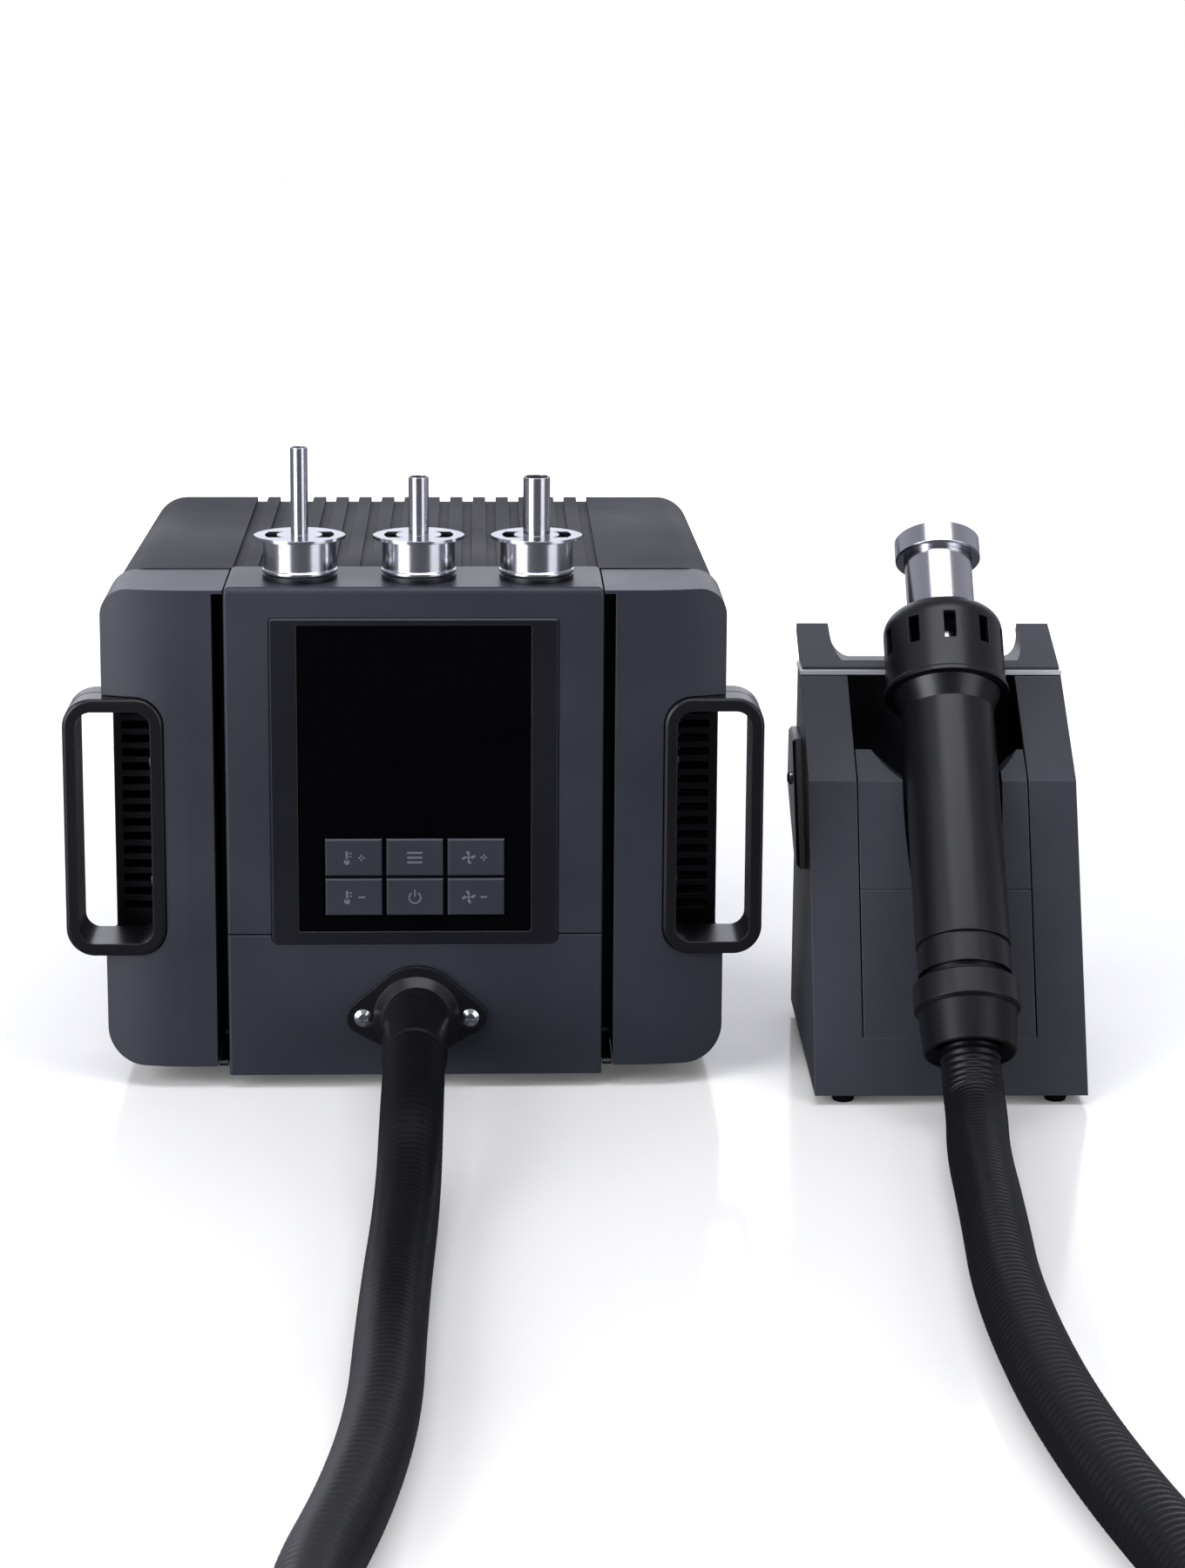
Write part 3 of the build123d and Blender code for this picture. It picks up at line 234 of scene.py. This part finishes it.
def dress_nodes():
    """Gives each CAD node the finish that its slot in the record asks for."""
    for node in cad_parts.values():
        for slot in node.material_slots:
            slot.material = MATERIALS[slot.material.name.split(".")[0]]
    # The heat plate gets the steel with a painted reflection in place of its own slot.
    for node, name in (("heat_plate", "steel_with_painted_reflection"), ("stand_cradle", "cradle_plastic_with_painted_light")):
        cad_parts[node].material_slots[0].material = MATERIALS[name]


# ---------------------------------------------------------------- pieces
def solid(shape, ends):
    """A closed solid in a bmesh, between two outlines of as many points."""
    near, far = ([shape.verts.new(point) for point in end] for end in ends)
    shape.faces.new(near)
    shape.faces.new(list(reversed(far)))
    for index in range(len(near)):
        after = (index + 1) % len(near)
        shape.faces.new((near[index], near[after], far[after], far[index]))


def finished(name, shape, smooth=True):
    """An object from a bmesh."""
    bmesh.ops.recalc_face_normals(shape, faces=shape.faces)
    mesh = bpy.data.meshes.new(name)
    shape.to_mesh(mesh)
    shape.free()
    for face in mesh.polygons:
        face.use_smooth = smooth
    piece = bpy.data.objects.new(name, mesh)
    bpy.context.scene.collection.objects.link(piece)
    return piece


# Hose, with its route in millimetres of the station's frame
HOSE_DIAMETER = 23 * MM
RIB_PITCH = 3.4 * MM
RINGS_PER_RIB = 4
RIB_DEPTH = (0.12 * MM, 0.75 * MM)  # at the station and at the handset
RIB_CHANGE = (0.3, 0.8)  # the shares of the length between which the ribs deepen
HOSE_ROUTE = [
    (0.5, -52.0, 29.3),
    (0.5, -96.0, 29.3),
    (0.0, -148.0, 11.5),
    (-3.0, -236.0, 11.5),
    (-4.0, -345.0, 11.5),
    (-28.0, -457.0, 11.5),
    (-1.0, -530.0, 11.5),
    (61.0, -573.0, 11.5),
    (136.0, -573.0, 11.5),
    (198.0, -530.0, 11.5),
    (225.0, -457.0, 11.5),
    (201.0, -345.0, 11.5),
    (195.0, -240.0, 11.5),
    (201.0, -160.0, 11.5),
    (204.0, -105.0, 11.5),
    (208.9, -67.1, 11.5),
    (209.1, -52.0, 18.5),
    (209.2, -41.7, 30.8),
]


def spline_points(points):
    """Points along the NURBS line that has the given points as its control points."""
    curve = bpy.data.curves.new("route", "CURVE")
    curve.dimensions = "3D"
    spline = curve.splines.new("NURBS")
    spline.points.add(len(points) - 1)
    for control, point in zip(spline.points, points):
        control.co = (*point, 1)
    spline.order_u = 3
    spline.use_endpoint_u = True
    spline.resolution_u = 32
    route = bpy.data.objects.new("route", curve)
    bpy.context.scene.collection.objects.link(route)
    line = bpy.data.meshes.new_from_object(route.evaluated_get(bpy.context.evaluated_depsgraph_get()))
    found = [vertex.co.copy() for vertex in line.vertices]
    bpy.data.objects.remove(route)
    bpy.data.meshes.remove(line)
    return found


def walk(line, step):
    """Points at even steps along a line, each with the line's direction there."""
    steps = []
    wanted, passed = 0.0, 0.0
    for here, there in zip(line, line[1:]):
        run = (there - here).length
        while wanted <= passed + run:
            steps.append((here.lerp(there, (wanted - passed) / run), (there - here) / run))
            wanted += step
        passed += run
    steps.append((line[-1], (line[-1] - line[-2]).normalized()))
    return steps


def tube_mesh(name, steps, radii, sides=32):
    """A closed tube round a line: one ring of points for each step, of that step's radius."""
    shape = bmesh.new()
    across = steps[0][1].orthogonal().normalized()
    turns = [tau * side / sides for side in range(sides)]
    rings = []
    for (point, along), radius in zip(steps, radii):
        across = (across - along * across.dot(along)).normalized()
        up = along.cross(across)
        rings.append([shape.verts.new(point + (across * cos(t) + up * sin(t)) * radius) for t in turns])
    for first, second in zip(rings, rings[1:]):
        for side in range(sides):
            after = (side + 1) % sides
            shape.faces.new((first[side], first[after], second[after], second[side]))
    shape.faces.new(list(reversed(rings[0])))
    shape.faces.new(rings[-1])
    return finished(name, shape)


def make_hose():
    """The ribbed hose from the station's collar round to the handset, with ribs that deepen on the way."""
    line = spline_points([station_point(*point) for point in HOSE_ROUTE])
    steps = walk(line, RIB_PITCH / RINGS_PER_RIB)
    shallow, deep = RIB_DEPTH
    first, last = RIB_CHANGE
    radii = []
    for index in range(len(steps)):
        share = (index / len(steps) - first) / (last - first)
        depth = shallow + (deep - shallow) * min(1, max(0, share))
        radii.append(HOSE_DIAMETER / 2 - depth * (0.5 + 0.5 * cos(tau * index / RINGS_PER_RIB)))
    hose = tube_mesh("ribbed_hose", steps, radii)
    hose.data.materials.append(MATERIALS["rubber"])
    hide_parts("air_hose")
    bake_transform(hose)


# Key symbols, as outlines in millimetres about the middle of a key
SYMBOL_DEPTH = (0.12 * MM, 0.1 * MM)  # in front of the key's face and behind it
SIGN_REACH = 1.3  # half the length of a plus or minus sign's bars
SIGN_HALF = 0.32  # half their width
FAN_BLADE = [(0.4, -0.2), (1.5, -0.5), (2.6, 0.1), (2.5, 1.0), (1.4, 0.7)]
FAN_BLADES = 4


def bar(x0, z0, x1, z1):
    """A level or upright bar."""
    return [(x0, z0), (x1, z0), (x1, z1), (x0, z1)]


def disc(x, z, radius, sides=20):
    """A round dot."""
    return [(x + radius * cos(tau * n / sides), z + radius * sin(tau * n / sides)) for n in range(sides)]


def arc_band(x, z, radii, start, end, steps=24):
    """Part of a ring between two angles in degrees."""
    turns = [radians(start + (end - start) * n / steps) for n in range(steps + 1)]
    outer = [(x + radii[1] * cos(t), z + radii[1] * sin(t)) for t in turns]
    return outer + [(x + radii[0] * cos(t), z + radii[0] * sin(t)) for t in reversed(turns)]


def thermometer(x):
    """A thermometer: a bulb with a stem and two marks."""
    return [disc(x, -1.6, 1.15), bar(x - 0.45, -1.0, x + 0.45, 2.6), bar(x + 0.9, 0.2, x + 1.9, 0.7),
            bar(x + 0.9, 1.5, x + 1.9, 2.0)]


def fan(x):
    """A fan: four curved blades round a hub."""
    blades = []
    for index in range(FAN_BLADES):
        turn = tau * index / FAN_BLADES
        across, along = cos(turn), sin(turn)
        blades.append([(x + a * across - b * along, a * along + b * across) for a, b in FAN_BLADE])
    return [*blades, disc(x, 0, 0.6, 12)]


def minus(x):
    """A minus sign."""
    return [bar(x - SIGN_REACH, -SIGN_HALF, x + SIGN_REACH, SIGN_HALF)]


def plus(x):
    """A plus sign."""
    return [*minus(x), bar(x - SIGN_HALF, -SIGN_REACH, x + SIGN_HALF, SIGN_REACH)]


SYMBOLS = {
    "key_temp_up": thermometer(-2.6) + plus(3.0),
    "key_temp_down": thermometer(-2.6) + minus(3.0),
    "key_flow_up": fan(-2.8) + plus(3.0),
    "key_flow_down": fan(-2.8) + minus(3.0),
    "key_channel": [bar(-2.9, z - 0.4, 2.9, z + 0.4) for z in (-1.9, 0, 1.9)],
    "key_power": [arc_band(0, -0.2, (1.9, 2.5), 125, 415), bar(-SIGN_HALF, 0.2, SIGN_HALF, 3.0)],
}


def make_symbols():
    """Raised symbols on the key caps, each riding on its key."""
    for key, outlines in SYMBOLS.items():
        shape = bmesh.new()
        place = middle(key)
        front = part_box(key)[0].y
        for outline in outlines:
            levels = (front - SYMBOL_DEPTH[0], front + SYMBOL_DEPTH[1])
            solid(shape, [[(place.x + x * MM, y, place.z + z * MM) for x, z in outline] for y in levels])
        symbol = finished(key + "_symbol", shape, smooth=False)
        symbol.data.materials.append(MATERIALS["key_print"])
        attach(symbol, key + "_cap")


# Dark strips that close the slots between the front covers from below, in millimetres of the station's frame
SILL_X = (72.4, 76.1)
SILL_PROFILE = [(1.6, 8.8), (38.2, 8.8), (38.2, 25.0), (36.8, 25.0), (36.2, 12.0), (34.8, 10.6), (2.6, 10.6),
                (1.6, 9.8)]


def make_sills():
    """The two strips, one each side of the lower cover."""
    shape = bmesh.new()
    for side in (-1, 1):
        solid(shape, [[station_point(side * x, y, z) for y, z in SILL_PROFILE] for x in SILL_X])
    sills = finished("slot_sills", shape, smooth=False)
    sills.data.materials.append(MATERIALS["black_plastic"])
    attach(sills, "station")


# ---------------------------------------------------------------- floor and light
LIGHT_COLOUR = (0.91, 0.92, 1.0)
SOFT_BOXES = {  # place, the point it faces, size in metres and power in watts
    "left_box": ((-1.15, -1.05, 0.55), (0, 0, 0.12), (0.95, 1.3), 29),
    "right_box": ((1.2, -1.0, 0.55), (0, 0, 0.12), (0.9, 1.3), 10),
    "top_box": ((0.1, -0.45, 1.5), (0.05, 0, 0.1), (1.5, 0.6), 13),
    "back_box": ((0, 2.4, 0.95), (0, 0, 0.2), (3.2, 1.6), 19),
}
WHITE, BLACK = (1.0, 1.0, 1.0), (0.0, 0.0, 0.0)
WORLD_COLOUR = (0.86, 0.87, 1.0)
WORLD_FILL = (0.14, 0.55)  # in front of the object and behind it
FLOOR_REACH = 4  # metres
FLOOR_SEEN = (0.93, 0.92, 0.86)
FLOOR_BOUNCE = (0.30, 0.30, 0.32)  # for the light it throws back on the object
FLOOR_MIRRORED = (0.11, 0.11, 0.12)  # in the object's own reflections, so that the steel has dark stripes
FLOOR_GLOW = (0.35, 1.1, 0.07, 0.95)  # near and far distance in metres, and the light given off there
FLOOR_ROUGHNESS = 0.12
FLOOR_GLOSS = 0.35


def soft_box(name, place, aim, size, power):
    """A soft box at a place, pointed at another."""
    light = bpy.data.lights.new(name, "AREA")
    light.shape = "RECTANGLE"
    light.size, light.size_y = size
    light.energy = power
    light.color = LIGHT_COLOUR
    lamp = bpy.data.objects.new(name, light)
    bpy.context.scene.collection.objects.link(lamp)
    lamp.location = place
    lamp.rotation_euler = (Vector(aim) - Vector(place)).to_track_quat("-Z", "Y").to_euler()
    lamp.visible_camera = False


def make_world():
    """White to the camera and dim grey to everything else, so that the soft boxes shape the object."""
    world = bpy.data.worlds.new("studio")
    world.use_nodes = True
    nodes, links = world.node_tree.nodes, world.node_tree.links
    seen = nodes["Background"]
    seen.inputs["Color"].default_value = (*WHITE, 1)
    seen.inputs["Strength"].default_value = 1.0
    unseen = nodes.new("ShaderNodeBackground")
    unseen.inputs["Color"].default_value = (*WORLD_COLOUR, 1)
    direction = nodes.new("ShaderNodeSeparateXYZ")
    links.new(nodes.new("ShaderNodeTexCoord").outputs["Generated"], direction.inputs[0])
    fill = ranged(nodes, links, direction.outputs["Y"], -0.8, 0.8, *WORLD_FILL)
    links.new(fill, unseen.inputs["Strength"])
    ray = nodes.new("ShaderNodeLightPath")
    mix = nodes.new("ShaderNodeMixShader")
    links.new(ray.outputs["Is Camera Ray"], mix.inputs[0])
    links.new(unseen.outputs[0], mix.inputs[1])
    links.new(seen.outputs[0], mix.inputs[2])
    links.new(mix.outputs[0], nodes["World Output"].inputs["Surface"])
    bpy.context.scene.world = world
    bpy.context.scene.view_settings.view_transform = "Standard"


def make_floor():
    """A pale floor that turns as white as the room with distance, with a faint gloss."""
    shape = bmesh.new()
    bmesh.ops.create_grid(shape, x_segments=1, y_segments=1, size=FLOOR_REACH)
    floor = finished("floor", shape)
    paint = bpy.data.materials.new("floor_paint")
    paint.use_nodes = True
    nodes, links = paint.node_tree.nodes, paint.node_tree.links
    surface = nodes["Principled BSDF"]
    ray = nodes.new("ShaderNodeLightPath")
    seen = ray.outputs["Is Camera Ray"]
    unseen = colour_mix(nodes, links, ray.outputs["Is Glossy Ray"], FLOOR_BOUNCE, FLOOR_MIRRORED)
    links.new(colour_mix(nodes, links, seen, unseen, FLOOR_SEEN), surface.inputs["Base Color"])
    links.new(colour_mix(nodes, links, seen, BLACK, WHITE), surface.inputs["Emission Color"])
    distance = nodes.new("ShaderNodeVectorMath")
    distance.operation = "LENGTH"
    links.new(nodes.new("ShaderNodeTexCoord").outputs["Object"], distance.inputs[0])
    glow = ranged(nodes, links, distance.outputs["Value"], *FLOOR_GLOW)
    links.new(glow, surface.inputs["Emission Strength"])
    surface.inputs["Roughness"].default_value = FLOOR_ROUGHNESS
    surface.inputs["Specular IOR Level"].default_value = FLOOR_GLOSS
    floor.data.materials.append(paint)


make_camera()
make_world()
make_floor()
for box_name, settings in SOFT_BOXES.items():
    soft_box(box_name, *settings)
dress_nodes()
make_hose()
make_symbols()
make_sills()
